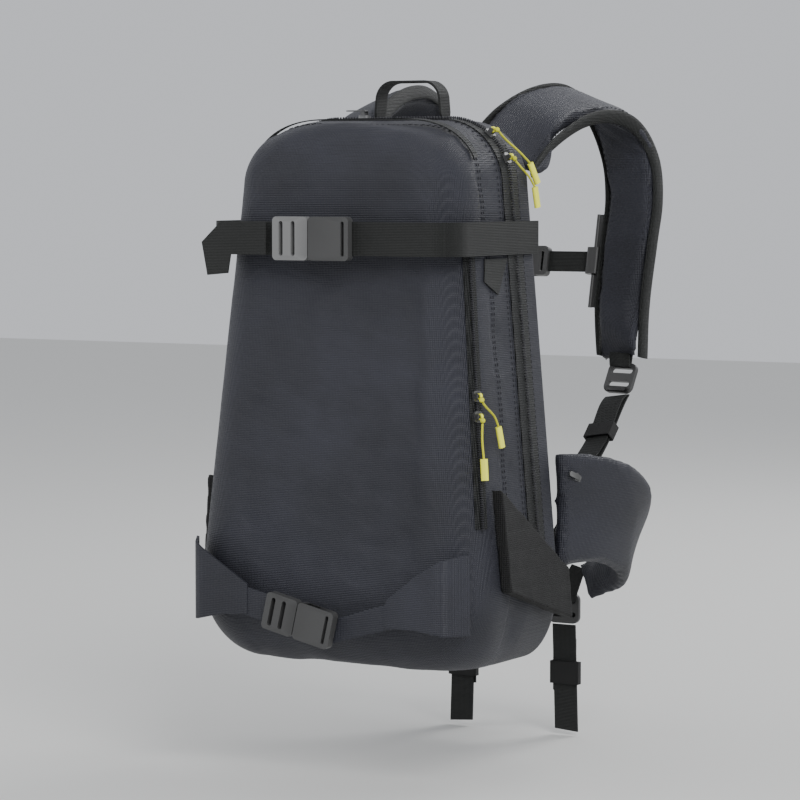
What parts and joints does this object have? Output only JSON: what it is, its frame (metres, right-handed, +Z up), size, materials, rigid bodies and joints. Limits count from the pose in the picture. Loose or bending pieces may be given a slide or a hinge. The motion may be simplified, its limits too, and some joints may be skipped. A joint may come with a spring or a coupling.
{
  "type": "ski backpack",
  "caption": "Freeride daypack with vertical board-carry straps, clamshell zip, padded harness, sternum strap and winged hip belt, in its worn shape.",
  "frame": {"origin": "midway between the undersides of the two shoulder strap crowns, where the pack hangs on a wearer", "axes": "+Z up, +Y from the pack towards the wearer, +X across the pack"},
  "size_m": [0.3672, 0.415, 0.6336],
  "materials": {
    "nylon": "coated ripstop nylon",
    "zip_tape": "woven zip tape",
    "webbing": "woven webbing",
    "elastic": "woven elastic",
    "stretch_mesh": "stretch weave",
    "spacer_mesh": "spacer mesh over foam",
    "frame_plastic": "matt",
    "alloy": "satin",
    "fleece": "brushed fleece",
    "black_plastic": "moulded acetal",
    "grey_plastic": "moulded acetal",
    "slider_metal": "black nickel",
    "pull_grip": "matt moulded rubber",
    "pull_cord": "braided cord"
  },
  "bodies": {
    "pack": {"back_pads": "spacer_mesh", "board_buckle_female": "black_plastic", "board_strap_left": "webbing", "board_strap_right": "webbing", "frame_sheet": "frame_plastic", "frame_stays": "alloy", "front_compartment": "nylon", "front_zip": "zip_tape", "hip_buckle_female": "black_plastic", "hip_ladder_locks": "black_plastic", "hip_webbing_left": "webbing", "hip_webbing_right": "webbing", "hip_wing_left": "nylon", "hip_wing_right": "nylon", "hip_wing_tabs": "webbing", "lower_buckle_female": "black_plastic", "lower_wing_left": "nylon", "lower_wing_right": "nylon", "lumbar_pad": "spacer_mesh", "main_bag": "nylon", "main_zip": "zip_tape", "seam_patches": "webbing", "shoulder_strap_left": "nylon", "shoulder_strap_right": "nylon", "side_pockets": "stretch_mesh", "sternum_rails": "black_plastic", "strap_keepers": "elastic", "strap_ladder_locks": "black_plastic", "strap_webbing": "webbing", "strap_yoke": "nylon", "top_pocket": "fleece", "top_zip": "zip_tape", "wing_sliders": "slider_metal", "wing_zips": "zip_tape"},
    "main_1_run": {"main_1_slider": "slider_metal"},
    "main_1_tag": {"main_1_pull": "pull_grip", "main_1_pull_cord": "pull_cord"},
    "main_2_run": {"main_2_slider": "slider_metal"},
    "main_2_tag": {"main_2_pull": "pull_grip", "main_2_pull_cord": "pull_cord"},
    "front_1_run": {"front_1_slider": "slider_metal"},
    "front_1_tag": {"front_1_pull": "pull_grip", "front_1_pull_cord": "pull_cord"},
    "front_2_run": {"front_2_slider": "slider_metal"},
    "front_2_tag": {"front_2_pull": "pull_grip", "front_2_pull_cord": "pull_cord"},
    "top_run": {"top_slider": "slider_metal"},
    "haul": {"haul_loop": "webbing"},
    "chest": {"sternum_clips": "black_plastic", "sternum_webbing_right": "webbing", "sternum_webbing_left": "webbing", "sternum_buckle_female": "black_plastic"},
    "chest_plug": {"sternum_buckle_male": "black_plastic"},
    "belt_plug": {"hip_buckle_male": "black_plastic"},
    "tail_left": {"hip_tail_left": "webbing"},
    "tail_right": {"hip_tail_right": "webbing"},
    "keeper_left": {"hip_keeper_left": "elastic"},
    "keeper_right": {"hip_keeper_right": "elastic"},
    "board_plug": {"board_buckle_male": "grey_plastic"},
    "lower_plug": {"lower_buckle_male": "black_plastic"}
  },
  "joints": [
    {"name": "main_slider_1_travel", "type": "hinge", "parent": "pack", "child": "main_1_run", "pos_m": [0.06, -0.201, -0.072], "axis": [0, -1, 0], "range_deg": [0, 36]},
    {"name": "main_slider_2_travel", "type": "hinge", "parent": "pack", "child": "main_2_run", "pos_m": [0.06, -0.201, -0.072], "axis": [0, -1, 0], "range_deg": [0, 10]},
    {"name": "main_pull_1_swing", "type": "hinge", "parent": "main_1_run", "child": "main_1_tag", "pos_m": [0.10319, -0.201, -0.02052], "axis": [0, -1, 0], "range_deg": [0, 60]},
    {"name": "main_pull_2_swing", "type": "hinge", "parent": "main_2_run", "child": "main_2_tag", "pos_m": [0.12139, -0.201, -0.04467], "axis": [0, -1, 0], "range_deg": [0, 60]},
    {"name": "front_slider_1_travel", "type": "slide", "parent": "pack", "child": "front_1_run", "axis": [-0.0889, 0.0614, 0.9942], "range_m": [0, 0.1]},
    {"name": "front_slider_2_travel", "type": "slide", "parent": "pack", "child": "front_2_run", "axis": [0.0889, -0.0614, -0.9942], "range_m": [0, 0.07]},
    {"name": "front_pull_1_swing", "type": "hinge", "parent": "front_1_run", "child": "front_1_tag", "pos_m": [0.13872, -0.2901, -0.25523], "axis": [-0.4243, -0.9053, 0.018], "range_deg": [0, 60]},
    {"name": "front_pull_2_swing", "type": "hinge", "parent": "front_2_run", "child": "front_2_tag", "pos_m": [0.14033, -0.29121, -0.27323], "axis": [-0.4243, -0.9053, 0.018], "range_deg": [0, 60]},
    {"name": "top_slider_travel", "type": "slide", "parent": "pack", "child": "top_run", "axis": [1, 0, 0], "range_m": [-0.032, 0.032]},
    {"name": "haul_loop_flop", "type": "hinge", "parent": "pack", "child": "haul", "pos_m": [0, -0.167, -0.0026], "axis": [1, 0, 0], "range_deg": [-65, 65]},
    {"name": "sternum_height", "type": "slide", "parent": "pack", "child": "chest", "axis": [0, -0.22, -0.9755], "range_m": [-0.03, 0.03]},
    {"name": "sternum_release", "type": "slide", "parent": "chest", "child": "chest_plug", "axis": [-1, 0, 0], "range_m": [0, 0.026], "deforming": ["sternum_webbing_left"]},
    {"name": "hip_release", "type": "slide", "parent": "pack", "child": "belt_plug", "axis": [1, 0, 0], "range_m": [0, 0.026], "deforming": ["hip_webbing_right"]},
    {"name": "hip_tail_left_swing", "type": "hinge", "parent": "pack", "child": "tail_left", "pos_m": [-0.056, 0.036, -0.4992], "axis": [1, 0, 0], "range_deg": [-25, 25]},
    {"name": "hip_tail_right_swing", "type": "hinge", "parent": "pack", "child": "tail_right", "pos_m": [0.056, 0.036, -0.4992], "axis": [1, 0, 0], "range_deg": [-25, 25]},
    {"name": "keeper_left_travel", "type": "slide", "parent": "tail_left", "child": "keeper_left", "axis": [0, 0, -1], "range_m": [-0.015, 0.03]},
    {"name": "keeper_right_travel", "type": "slide", "parent": "tail_right", "child": "keeper_right", "axis": [0, 0, -1], "range_m": [-0.012, 0.03]},
    {"name": "board_release", "type": "slide", "parent": "pack", "child": "board_plug", "axis": [-1, 0, 0], "range_m": [0, 0.026], "deforming": ["board_strap_left"]},
    {"name": "lower_release", "type": "slide", "parent": "pack", "child": "lower_plug", "axis": [-0.9744, 0, 0.225], "range_m": [0, 0.026], "deforming": ["lower_wing_left"]}
  ]
}
